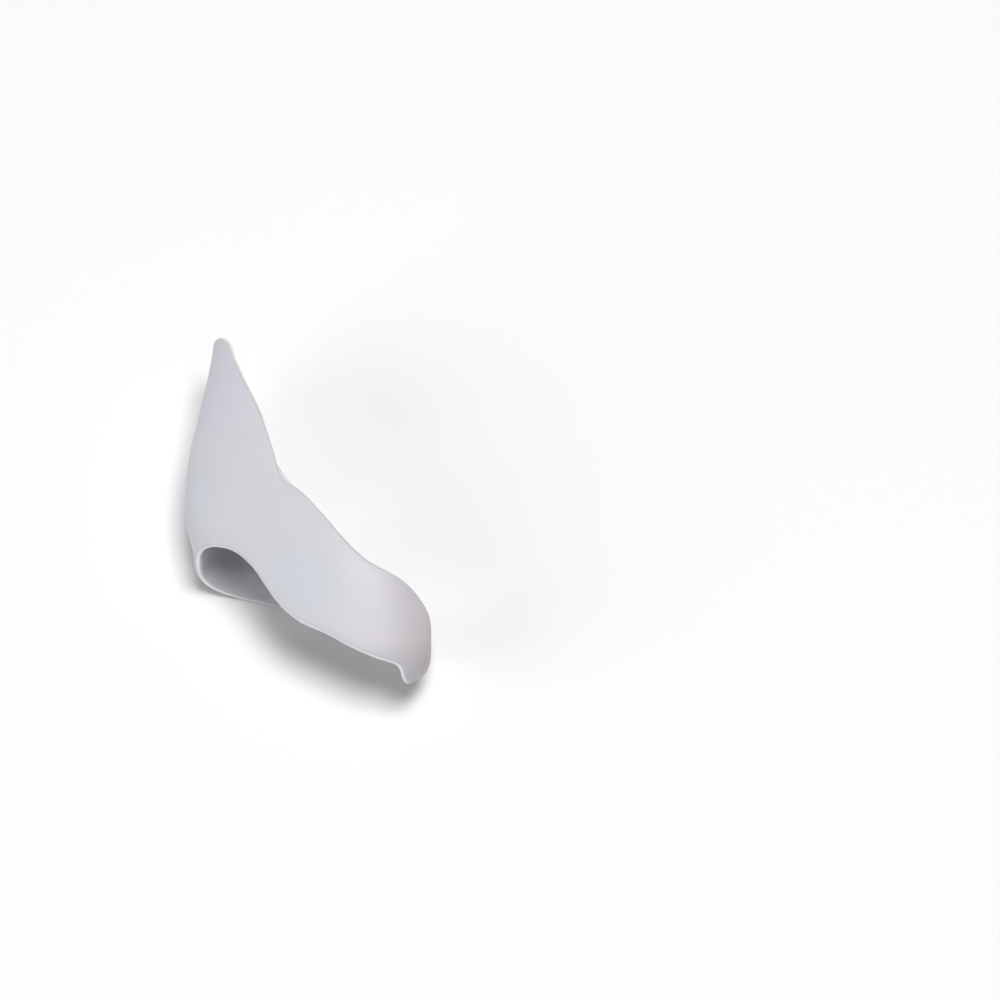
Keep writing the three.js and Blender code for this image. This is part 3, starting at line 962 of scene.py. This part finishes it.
class Spacer:
    """The spacer between the two openings, with its fillets."""

    def __init__(self, form: GelForm) -> None:
        """Lay out the spacer's two ends and its columns.

        Args:
            form: the gel that the spacer belongs to.
        """
        self.form = form
        self.sizes = form.sizes
        ring = form.ring
        self.ribs: dict[SpacerEnd, Rib] = {}
        self.beside: dict[tuple[SpacerEnd, Toe], Rib] = {}
        for end, row in ((SpacerEnd.SOLE, ring.sole_index), (SpacerEnd.UPPER, 0)):
            rib = ring.rib(row, 0.0)
            self.ribs[end] = rib
            for toe in Toe:
                self.beside[end, toe] = ring.rib_beside(rib, row, -toe.value * end.value)
        self.columns = self.lay_out(form.steps)

    @staticmethod
    def lay_out(steps: MeshSteps) -> list[SpacerStep]:
        """Lay out the spacer's columns.

        Args:
            steps: how finely the gel is meshed.

        Returns:
            The columns of the lower fillet, the straight middle and the upper fillet.
        """
        bends = [RIGHT_ANGLE / 2 * (1 + k / steps.fillet_steps) for k in range(1, steps.fillet_steps + 1)]
        middle = [SpacerStep(RIGHT_ANGLE, k / steps.spacer_steps) for k in range(1, steps.spacer_steps)]
        lower = [SpacerStep(bend, 0.0) for bend in bends]
        upper = [SpacerStep(bend, 1.0) for bend in reversed(bends)]
        return lower + middle + upper

    def reach(self, step: SpacerStep, share: float) -> float:
        """Give the reach of the spacer's middle, which is hollowed at both edges.

        Args:
            step: the column.
            share: share of the way from the front to the back.

        Returns:
            The reach.
        """
        fillet_part = 0.25
        height = fillet_part * step.bent + (1 - 2 * fillet_part * step.bent) * step.rise
        sole = self.form.ring.along(self.ribs[SpacerEnd.SOLE], share).reach
        upper = self.form.ring.along(self.ribs[SpacerEnd.UPPER], share).reach
        bell = 16 * (height * (1 - height)) ** 2
        hollow = self.sizes.spacer_hollow * bell * (1 - 2 * share)
        return mix(sole, upper, (height + fullness(height, 1)) / 2) + hollow

    def face_from(self, end: SpacerEnd, step: SpacerStep, share: float, toe: Toe) -> Vector:
        """Give a point of the spacer's face, measured from one of its ends.

        Args:
            end: the end to measure from.
            step: the column.
            share: share of the way from the front to the back.
            toe: the opening beside the face.

        Returns:
            The point.
        """
        form, sizes = self.form, self.sizes
        corner = form.ring.along(self.beside[end, toe], share)
        corner_x = form.outside.point(corner.turn, corner.reach).x
        straight_x = toe.value * sizes.spacer_thickness / 2
        x = mix(straight_x, corner_x, (1 - math.sin(step.bend)) / (1 - math.sqrt(0.5)))
        push = corner.reach - form.ring.along(self.ribs[end], share).reach
        reach = self.reach(step, share) + push * (1 - fullness(step.bent, 1))
        depth = corner.thickness + sizes.fillet * (1 - math.cos(step.bend))
        return form.outside.below(form.outside.turn_over(x, reach, end), reach, depth)

    def face(self, step: SpacerStep, share: float, toe: Toe) -> Vector:
        """Give a point of the spacer's face, between those measured from its two ends.

        Args:
            step: the column.
            share: share of the way from the front to the back.
            toe: the opening beside the face.

        Returns:
            The point.
        """
        if step.rise == 0:
            return self.face_from(SpacerEnd.SOLE, step, share, toe)
        if step.rise == 1:
            return self.face_from(SpacerEnd.UPPER, step, share, toe)
        low = self.face_from(SpacerEnd.SOLE, step, share, toe)
        return low.lerp(self.face_from(SpacerEnd.UPPER, step, share, toe), step.rise)

    def height(self, step: SpacerStep, share: float) -> float:
        """Return the height midway between the spacer's two faces."""
        return sum(self.face(step, share, toe).z for toe in Toe) / 2

    def core(self, step: SpacerStep, share: float) -> Vector:
        """Give the spacer's middle, which climbs to the core of the sheet round the fillets.

        Args:
            step: the column.
            share: share of the way from the front to the back.

        Returns:
            The point.
        """
        point = Vector((0, self.reach(step, share), self.height(step, share)))
        climb = 1 - step.bent
        if climb > 0:
            corner = SpacerStep(RIGHT_ANGLE / 2, step.rise)
            sheet = self.form.core(self.form.ring.along(self.ribs[step.nearer_end], share))
            point.z += (sheet.z - self.height(corner, share)) * climb
        return point

    def column(self, step: SpacerStep, toe: Toe) -> list[SkinPoint]:
        """Run a column over the spacer's face, with the sheet's rims at the fillets.

        Args:
            step: the column.
            toe: the opening beside the face.

        Returns:
            The points of the column.
        """
        rib = self.ribs[step.nearer_end]
        thickness = self.sizes.spacer_thickness
        rise = fullness(step.bent, 1)
        radii = tuple(thickness / 2 * mix(end.slant, 1, rise) for end in (rib.front, rib.back))
        return self.form.column(
            (self.core(step, 0) - self.core(step, 1)).length,
            radii,
            lambda share: self.core(step, share),
            lambda share: self.face(step, share, toe),
        )


class SkinMesh:
    """The vertices and faces of the gel, as one closed mesh of four-sided faces."""

    def __init__(self) -> None:
        """Start an empty mesh."""
        self.points: list[SkinPoint] = []
        self.quads: list[tuple[int, int, int, int]] = []
        self.faces: list[Face] = []
        self.edges: dict[str, int] = {}

    def add(self, point: SkinPoint) -> int:
        """Add a vertex and return its number."""
        self.points.append(point)
        return len(self.points) - 1

    def add_column(self, name: str, points: list[SkinPoint]) -> list[int]:
        """Add a column, whose two end points are shared with the columns of the same name.

        Args:
            name: the column's name on the front and back edges.
            points: the points from front to back.

        Returns:
            The numbers of the vertices.
        """
        ends = []
        for edge, point in ((Edge.FRONT, points[0]), (Edge.BACK, points[-1])):
            key = f"{name} {edge.value}"
            if key not in self.edges:
                self.edges[key] = self.add(point)
            ends.append(self.edges[key])
        return [ends[0], *(self.add(point) for point in points[1:-1]), ends[1]]

    def add_wall(self, columns: list[list[int]], face: Face) -> None:
        """Join a closed ring of columns with four-sided faces.

        Args:
            columns: the numbers of each column's vertices.
            face: the face of the gel that they are on.
        """
        for left, right in zip(columns, columns[1:] + columns[:1]):
            for k in range(len(left) - 1):
                self.quads.append((left[k], right[k], right[k + 1], left[k + 1]))
                self.faces.append(face)


def packed_shift(sizes: GelSizes) -> Vector:
    """Return the way from the form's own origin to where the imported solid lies."""
    _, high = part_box(NODE)
    return Vector((high.x - sizes.inner_side, high.y - sizes.whole_length, 0))


def add_object(name: str, data: bpy.types.ID) -> bpy.types.Object:
    """Add an object to the scene.

    Args:
        name: the object's name.
        data: its mesh, light or camera.

    Returns:
        The object.
    """
    added = bpy.data.objects.new(name, data)
    bpy.context.scene.collection.objects.link(added)
    return added


@dataclass
class GelSeparator:
    """The separator as one moulded piece of gel.

    Attributes:
        form: its form.
        outer_finish: the finish of its outside and of its rims.
        inner_finish: the finish of its openings, smoother than the outside and a little darker, as painted
            shade.
        clouds: the tints that drift in the gel, and the warm painted shade at the inner wall's end.
    """

    form: GelForm
    outer_finish: "GelFinish"
    inner_finish: "GelFinish"
    clouds: tuple[Cloud, ...] = (
        Cloud(Tint.COOL, at=(-14 * MM, 27 * MM, 11 * MM), radius=13 * MM, strength=0.7),
        Cloud(Tint.COOL, at=(0.0, 11 * MM, 16 * MM), radius=13 * MM, strength=0.9),
        Cloud(Tint.LAVENDER, at=(-10 * MM, 42 * MM, 14 * MM), radius=16 * MM, strength=1.0),
        # Painted shade: a darker, warm cloud at the lower end of the inner wall, for the shade and warm
        # reflected light of a neighbouring toe that is not in the scene.
        Cloud(Tint.PAINTED_WARM_SHADE, at=(17.5 * MM, 2 * MM, 6 * MM), radius=11.5 * MM, strength=1.0),
    )

    def tint(self, tint: Tint, point: Vector) -> float:
        """Return how much of a tint shows at a point, of all its clouds together."""
        return min(1.0, sum(cloud.share(point) for cloud in self.clouds if cloud.tint is tint))

    def skin(self) -> SkinMesh:
        """Build the skin.

        Returns:
            The outside and the walls of the two openings, joined at the rims.
        """
        ring, spacer, per_row = self.form.ring, self.form.spacer, self.form.steps.columns_per_row
        skin = SkinMesh()
        ribs = [ring.rib(i, k / per_row) for i in range(len(ring.rows)) for k in range(per_row)]
        count, sole = len(ribs), ring.sole_index * per_row

        def inner(i: int, first: int, last: int) -> list[int]:
            """Add an inner column, which looks for the rib beside it from the nearer spacer end.

            Args:
                i: number of the rib.
                first: number of the rib where the opening begins.
                last: number of the rib where it ends.

            Returns:
                The numbers of the vertices.
            """
            from_first = i - first < last - i
            start = (first if from_first else last) / per_row
            points = self.form.inner_column(ribs[i % count], start, 1 if from_first else -1)
            return skin.add_column(f"sheet {i % count}", points)

        def across(k: int, toe: Toe) -> list[int]:
            """Add a column of the spacer."""
            return skin.add_column(f"spacer {k}", spacer.column(spacer.columns[k], toe))

        outer = [skin.add_column(f"sheet {i}", self.form.outer_column(rib)) for i, rib in enumerate(ribs)]
        skin.add_wall(outer[::-1], Face.OUTER)
        spacer_count = len(spacer.columns)
        little = [inner(i, 0, sole) for i in range(sole + 1)]
        little += [across(k, Toe.LITTLE) for k in range(spacer_count)]
        skin.add_wall(little, Face.INNER)
        fourth = [inner(i, sole, count) for i in range(sole, count + 1)]
        fourth += [across(k, Toe.FOURTH) for k in reversed(range(spacer_count))]
        skin.add_wall(fourth, Face.INNER)
        return skin

    def build(self) -> bpy.types.Object:
        """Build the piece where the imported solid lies, and dress it.

        Returns:
            The new object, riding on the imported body.
        """
        skin = self.skin()
        shift = packed_shift(self.form.sizes)
        mesh = bpy.data.meshes.new(PIECE)
        mesh.from_pydata([point.at + shift for point in skin.points], [], skin.quads)
        mesh.polygons.foreach_set("use_smooth", [True] * len(skin.quads))
        mesh.polygons.foreach_set("material_index", [face.value for face in skin.faces])
        layers = {
            FRONT_LAYER: [point.from_front / MM for point in skin.points],
            BACK_LAYER: [point.from_back / MM for point in skin.points],
        }
        for tint in Tint:
            layers[tint.value] = [self.tint(tint, point.at) for point in skin.points]
        for name, values in layers.items():
            mesh.attributes.new(name, "FLOAT", "POINT").data.foreach_set("value", values)
        mesh.update()
        piece = add_object(PIECE, mesh)
        mesh.materials.append(self.outer_finish.material())
        mesh.materials.append(self.inner_finish.material())
        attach(piece, BODY)
        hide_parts(NODE)
        log.info("%s: %d points, %d faces", piece.name, len(skin.points), len(skin.quads))
        return piece


class NodeBoard:
    """A node tree with short ways to add and join nodes."""

    def __init__(self, tree: bpy.types.NodeTree) -> None:
        """Hold a material's or a group's tree."""
        self.tree = tree

    def feed(self, sockets: bpy.types.NodeInputs, values: dict[str | int, object]) -> None:
        """Join outputs to a node's sockets, or set the sockets' own values.

        Args:
            sockets: the node's inputs.
            values: an output or a value for each socket.
        """
        for key, value in values.items():
            if isinstance(value, bpy.types.NodeSocket):
                self.tree.links.new(value, sockets[key])
            else:
                sockets[key].default_value = value

    def add(self, kind: str, inputs: dict[str | int, object], **settings: object) -> bpy.types.Node:
        """Add a node.

        Args:
            kind: the node's type name.
            inputs: values or outputs for its sockets.
            **settings: its own settings.

        Returns:
            The node.
        """
        node = self.tree.nodes.new(kind)
        for name, value in settings.items():
            setattr(node, name, value)
        self.feed(node.inputs, inputs)
        return node

    def group(self, tree: bpy.types.NodeTree, inputs: dict[str, object]) -> bpy.types.NodeOutputs:
        """Place a node group and return its outputs."""
        return self.add("ShaderNodeGroup", inputs, node_tree=tree).outputs

    def attribute(self, name: str) -> bpy.types.NodeSocket:
        """Return a value that is kept with the mesh."""
        return self.add("ShaderNodeAttribute", {}, attribute_name=name).outputs["Fac"]

    def math(self, operation: str, *values: object) -> bpy.types.NodeSocket:
        """Return the output of a Math node."""
        return self.add("ShaderNodeMath", dict(enumerate(values)), operation=operation).outputs[0]

    def spread(self, value: object, low: object, high: object) -> bpy.types.NodeSocket:
        """Return a value from 0 to 1, spread from low to high."""
        inputs = {"Value": value, "To Min": low, "To Max": high}
        return self.add("ShaderNodeMapRange", inputs).outputs["Result"]

    def fade(self, value: object, start: object, end: object) -> bpy.types.NodeSocket:
        """Return a smooth rise from 0 to 1 as a value goes from start to end."""
        inputs = {"Value": value, "From Min": start, "From Max": end}
        return self.add("ShaderNodeMapRange", inputs, interpolation_type="SMOOTHSTEP").outputs["Result"]

    def blend(self, share: object, low: object, high: object) -> bpy.types.NodeSocket:
        """Return the mix of two colours."""
        return self.add("ShaderNodeMix", {0: share, 6: low, 7: high}, data_type="RGBA").outputs[2]

    def noise(self, scale: object, seed: object, detail: float) -> bpy.types.NodeSocket:
        """Add smooth noise over the piece's own coordinates.

        Args:
            scale: waves to the metre.
            seed: where in the noise the piece lies.
            detail: how many finer layers are added.

        Returns:
            The noise's value, about 0 to 1.
        """
        place = self.add("ShaderNodeTexCoord", {}).outputs["Object"]
        inputs = {"Vector": place, "W": seed, "Scale": scale, "Detail": detail}
        return self.add("ShaderNodeTexNoise", inputs, noise_dimensions="4D").outputs["Fac"]

    def surface(self, inputs: dict[str, object]) -> None:
        """Add a material's shader, and join it to the material's output."""
        shader = self.add("ShaderNodeBsdfPrincipled", inputs)
        self.add("ShaderNodeOutputMaterial", {"Surface": shader.outputs["BSDF"]})


class GroupBoard(NodeBoard):
    """The board of a new shader node group, with its inputs and results."""

    def __init__(self, name: str, inputs: dict[str, float | Color], results: dict[str, str]) -> None:
        """Start the group.

        Args:
            name: the group's name.
            inputs: for each input, the number or colour that it starts with.
            results: for each result, its socket type.
        """
        super().__init__(bpy.data.node_groups.new(name, "ShaderNodeTree"))
        for label, value in inputs.items():
            kind = COLOR if isinstance(value, tuple) else FLOAT
            socket = self.tree.interface.new_socket(name=label, in_out="INPUT", socket_type=kind)
            socket.default_value = value
        for label, kind in results.items():
            self.tree.interface.new_socket(name=label, in_out="OUTPUT", socket_type=kind)
        self.inputs = self.tree.nodes.new("NodeGroupInput").outputs
        self.results = self.tree.nodes.new("NodeGroupOutput").inputs


class GelEffects:
    """The effects that both faces of the gel share, each a node group that is built once."""

    def __init__(self) -> None:
        """Build the groups."""
        self.cloud = self.build_cloud()
        # Painted highlight along the rims and painted shade behind them.
        self.rim = self.build_painted_rim_highlight()
        self.satin = self.build_satin()

    @staticmethod
    def build_cloud() -> bpy.types.ShaderNodeTree:
        """Build the clouds of tint in milky gel, and the warm painted shade, with edges that drift.

        Returns:
            The group.
        """
        colors = {
            "Milk": (0.6, 0.6, 0.6, 1),
            Tint.LAVENDER.value: (0.6, 0.6, 0.7, 1),
            Tint.COOL.value: (0.5, 0.6, 0.7, 1),
            # The warm colour is painted shade.
            Tint.PAINTED_WARM_SHADE.value: (0.6, 0.5, 0.5, 1),
        }
        board = GroupBoard("milky_cloud", {**colors, "Cloud Scale": 60.0, "Seed": 0.0}, {"Color": COLOR})
        drift = board.noise(board.inputs["Cloud Scale"], board.inputs["Seed"], detail=1.0)
        thickening = board.spread(drift, low=0.6, high=1.3)
        color = board.inputs["Milk"]
        for tint in (Tint.LAVENDER, Tint.COOL, Tint.PAINTED_WARM_SHADE):
            share = board.math("MULTIPLY", board.attribute(tint.value), thickening)
            color = board.blend(share, color, board.inputs[tint.value])
        board.feed(board.results, {"Color": color})
        return board.tree

    @staticmethod
    def build_painted_rim_highlight() -> bpy.types.ShaderNodeTree:
        """Build the painted highlight along a thin rim, a pale line that stands in for the light it catches,
        and the painted soft shade behind it.

        Returns:
            The group.
        """
        colors = {
            "Color": (0.6, 0.6, 0.6, 1),
            "Painted Rim Highlight": (0.9, 0.9, 0.9, 1),
            "Shade Color": (0.5, 0.5, 0.5, 1),
        }
        widths = {"Front Width": 0.45, "Back Width": 0.75, "Shade Width": 3.0}
        board = GroupBoard("painted_rim_highlight", colors | widths, {"Color": COLOR})
        inputs = board.inputs
        from_front = board.attribute(FRONT_LAYER)
        from_back = board.attribute(BACK_LAYER)
        beyond_front = board.fade(from_front, 0.0, inputs["Front Width"])
        beyond_back = board.fade(from_back, 0.0, inputs["Back Width"])
        # Mask of the painted highlight along both rims.
        rim = board.math("SUBTRACT", 1.0, board.math("MINIMUM", beyond_front, beyond_back))
        from_edge = board.math("MINIMUM", from_front, from_back)
        beyond_shade = board.fade(from_edge, inputs["Back Width"], inputs["Shade Width"])
        # Mask of the painted shade just behind the rims.
        shade = board.math("SUBTRACT", 1.0, beyond_shade)
        shaded = board.blend(shade, inputs["Color"], inputs["Shade Color"])
        board.feed(board.results, {"Color": board.blend(rim, shaded, inputs["Painted Rim Highlight"])})
        return board.tree

    @staticmethod
    def build_satin() -> bpy.types.ShaderNodeTree:
        """Build the satin of a moulded surface: the mould's fine grain and its slow unevenness.

        Returns:
            The group.
        """
        roughness = {"Smooth": 0.4, "Rough": 0.6}
        relief = {"Grain Scale": 3000.0, "Grain Share": 0.3, "Wave Scale": 120.0, "Seed": 0.0}
        board = GroupBoard("moulded_satin", roughness | relief, {"Roughness": FLOAT, "Height": FLOAT})
        inputs = board.inputs
        grain = board.noise(inputs["Grain Scale"], inputs["Seed"], detail=2.0)
        wave = board.noise(inputs["Wave Scale"], inputs["Seed"], detail=0.0)
        patches = board.spread(wave, inputs["Smooth"], inputs["Rough"])
        height = board.math("ADD", board.math("MULTIPLY", grain, inputs["Grain Share"]), wave)
        board.feed(board.results, {"Roughness": patches, "Height": height})
        return board.tree


def new_material(name: str) -> tuple[bpy.types.Material, NodeBoard]:
    """Start a material.

    Args:
        name: the material's name.

    Returns:
        The material, and the empty board of its nodes.
    """
    material = bpy.data.materials.new(name)
    material.use_nodes = True
    material.node_tree.nodes.clear()
    return material, NodeBoard(material.node_tree)


@dataclass(frozen=True)
class GelFinish:
    """The finish of one face of the gel.

    Attributes:
        name: the material's name.
        effects: the node groups that both faces share.
        milk: the gel's own colour.
        tints: the colours of its clouds; the warm one is painted shade.
        rim: the painted highlight along the rims, a pale colour in place of the light that the thin edges
            catch.
        shade: the painted shade just behind the rims.
        smooth: the lowest roughness.
        rough: the highest roughness.
        grain_depth: height of the mould's grain and unevenness.
        seed: where in the noise this face lies.
        translucency: how much light goes through the gel.
        scatter: how far light of each colour goes in the gel, in millimetres.
        refraction: how strongly the gel bends light.
    """

    name: str
    effects: GelEffects
    milk: Color
    tints: dict[Tint, Color]
    rim: Color
    shade: Color
    smooth: float
    rough: float
    grain_depth: float
    seed: float
    translucency: float = 0.35
    scatter: Point = (1.6, 1.5, 1.7)
    refraction: float = 1.43

    def material(self) -> bpy.types.Material:
        """Build the material.

        Returns:
            The material.
        """
        material, board = new_material(self.name)
        effects = self.effects
        tints = {tint.value: color for tint, color in self.tints.items()}
        cloud = board.group(effects.cloud, {"Milk": self.milk, "Seed": self.seed, **tints})
        # Painted highlight along the rims and painted shade behind them, laid over the gel's colour.
        edges = {"Color": cloud["Color"], "Painted Rim Highlight": self.rim, "Shade Color": self.shade}
        rim = board.group(effects.rim, edges)
        satin = board.group(
            effects.satin, {"Smooth": self.smooth, "Rough": self.rough, "Seed": self.seed}
        )
        bump = board.add("ShaderNodeBump", {"Height": satin["Height"], "Distance": self.grain_depth})
        board.surface(
            {
                "Base Color": rim["Color"],
                "Roughness": satin["Roughness"],
                "Normal": bump.outputs["Normal"],
                "IOR": self.refraction,
                "Subsurface Weight": self.translucency,
                "Subsurface Radius": self.scatter,
                "Subsurface Scale": MM,
            }
        )
        return material


@dataclass(frozen=True)
class FloorFinish:
    """Pale matte board.

    Attributes:
        color: its colour.
        shaded: the colour of its faint mottling.
        roughness: its roughness.
        mottling_scale: waves of the mottling to the metre.
    """

    color: Color = (0.89, 0.89, 0.895, 1)
    shaded: Color = (0.875, 0.875, 0.88, 1)
    roughness: float = 0.8
    mottling_scale: float = 8.0

    def material(self) -> bpy.types.Material:
        """Build the material.

        Returns:
            The material.
        """
        material, board = new_material("pale_board")
        mottling = board.noise(self.mottling_scale, seed=0.0, detail=2.0)
        color = board.blend(mottling, self.shaded, self.color)
        board.surface({"Base Color": color, "Roughness": self.roughness})
        return material


def aim(aimed: bpy.types.Object, at: Vector, direction: Vector) -> None:
    """Place a light or a camera and turn it to look along a direction.

    Args:
        aimed: the light or the camera.
        at: where it stands.
        direction: where it looks.
    """
    aimed.location = at
    aimed.rotation_mode = "QUATERNION"
    aimed.rotation_quaternion = direction.to_track_quat("-Z", "Y")


@dataclass(frozen=True)
class SoftLight:
    """A square soft light that looks at the middle of the piece.

    Attributes:
        name: its name.
        at: where it hangs.
        width: the length of its sides.
        power: its power in watts.
        color: its colour.
    """

    name: str
    at: Point
    width: float
    power: float
    color: Point

    def build(self) -> None:
        """Hang the light."""
        data = bpy.data.lights.new(self.name, "AREA")
        data.shape = "SQUARE"
        data.size = self.width
        data.energy = self.power
        data.color = self.color
        aim(add_object(self.name, data), Vector(self.at), -Vector(self.at))


@dataclass
class Studio:
    """The floor, the soft lights and the pale surroundings.

    Attributes:
        floor_width: length of the floor's sides.
        floor_finish: the floor's finish.
        surroundings: colour of the room.
        surroundings_strength: brightness of the room.
        lights: the soft lights.
    """

    floor_width: float = 6.0
    floor_finish: FloorFinish = field(default_factory=FloorFinish)
    surroundings: Color = (1.0, 0.95, 0.95, 1)
    surroundings_strength: float = 0.12
    lights: tuple[SoftLight, ...] = (
        SoftLight("key_light", at=(0.15, 0.0, 1.0), width=0.4, power=9.4, color=(1.0, 0.985, 0.98)),
        SoftLight("fill_light", at=(-0.87, -0.3, 0.4), width=0.7, power=3.8, color=(0.97, 0.985, 1.0)),
    )

    def build(self) -> None:
        """Lay the floor, hang the lights and set the surroundings."""
        half = self.floor_width / 2
        corners = [(-half, -half, 0), (half, -half, 0), (half, half, 0), (-half, half, 0)]
        mesh = bpy.data.meshes.new("floor")
        mesh.from_pydata(corners, [], [(0, 1, 2, 3)])
        mesh.materials.append(self.floor_finish.material())
        floor = add_object("floor", mesh)
        for light in self.lights:
            light.build()
        world = bpy.data.worlds.new("surroundings")
        world.use_nodes = True
        background = world.node_tree.nodes["Background"]
        background.inputs["Color"].default_value = self.surroundings
        background.inputs["Strength"].default_value = self.surroundings_strength
        bpy.context.scene.world = world
        bpy.context.scene.view_settings.view_transform = "Standard"
        log.info("floor and %d lights", len(self.lights))


@dataclass(frozen=True)
class PhotoCamera:
    """The camera, at the picture's angle and scale.

    Attributes:
        elevation: how far above the horizon it stands.
        distance: how far from the piece it stands.
        anchor: a point of the form, the top of the front corner of the band.
        anchor_pixel: where that point lies in the picture.
        pixels_per_metre: the picture's scale at that point.
        frame_pixels: width and height of the picture.
        sensor: width of the sensor in millimetres.
        nearest: how near to the camera things are still seen.
    """

    elevation: float = math.radians(65)
    distance: float = 0.6
    anchor: Point = (13.75 * MM, 0.0, 14.5 * MM)
    anchor_pixel: tuple[float, float] = (399.0, 664.0)
    pixels_per_metre: float = 7200.0
    frame_pixels: float = 1000.0
    sensor: float = 36.0
    nearest: float = 0.01

    def build(self, sizes: GelSizes) -> None:
        """Place the camera so that the anchor falls on its pixel.

        Args:
            sizes: the separator's sizes, which say where the form's own origin lies.
        """
        anchor = Vector(self.anchor) + packed_shift(sizes)
        sin, cos = math.sin(self.elevation), math.cos(self.elevation)
        back, right, up = Vector((0, -cos, sin)), Vector((1, 0, 0)), Vector((0, sin, cos))
        aside, down = ((pixel - self.frame_pixels / 2) / self.pixels_per_metre for pixel in self.anchor_pixel)
        data = bpy.data.cameras.new("camera")
        data.sensor_width = self.sensor
        data.lens = self.sensor * self.distance * self.pixels_per_metre / self.frame_pixels
        data.clip_start = self.nearest
        camera = add_object("camera", data)
        aim(camera, anchor + back * self.distance - right * aside + up * down, -back)
        bpy.context.scene.camera = camera
        log.info("camera %.0f mm away, lens %.1f mm", self.distance / MM, data.lens)


def outer_finish(effects: GelEffects) -> GelFinish:
    """Choose the satin finish of the outside.

    Args:
        effects: the node groups that both faces share.

    Returns:
        The finish.
    """
    return GelFinish(
        name="satin_gel",
        effects=effects,
        milk=(0.58, 0.568, 0.6, 1),
        tints={
            Tint.COOL: (0.525, 0.57, 0.618, 1),
            Tint.LAVENDER: (0.558, 0.558, 0.628, 1),
            # Painted shade: darker and warmer than the milk.
            Tint.PAINTED_WARM_SHADE: (0.5, 0.45, 0.455, 1),
        },
        # Painted highlight on the rims, and painted shade just behind them.
        rim=(0.93, 0.92, 0.93, 1),
        shade=(0.55, 0.545, 0.575, 1),
        smooth=0.42,
        rough=0.56,
        grain_depth=0.02 * MM,
        seed=2.0,
    )


def inner_finish(effects: GelEffects) -> GelFinish:
    """Choose the smoother, slightly tacky finish of the openings, with a slightly darker milk as painted
    shade in their hollows.

    Args:
        effects: the node groups that both faces share.

    Returns:
        The finish.
    """
    return replace(
        outer_finish(effects),
        name="tacky_gel_with_painted_shade",
        # Painted shade: a little darker than the outside's milk, for the hollows of the openings.
        milk=(0.565, 0.555, 0.58, 1),
        smooth=0.3,
        rough=0.42,
        grain_depth=0.01 * MM,
        seed=5.0,
    )


def main() -> None:
    """Build the separator, the studio and the camera in order."""
    logging.basicConfig(level=logging.INFO, format="%(name)s: %(message)s")
    form = GelForm()
    effects = GelEffects()
    GelSeparator(form, outer_finish(effects), inner_finish(effects)).build()
    Studio().build()
    PhotoCamera().build(form.sizes)


if __name__ == "__main__":
    main()
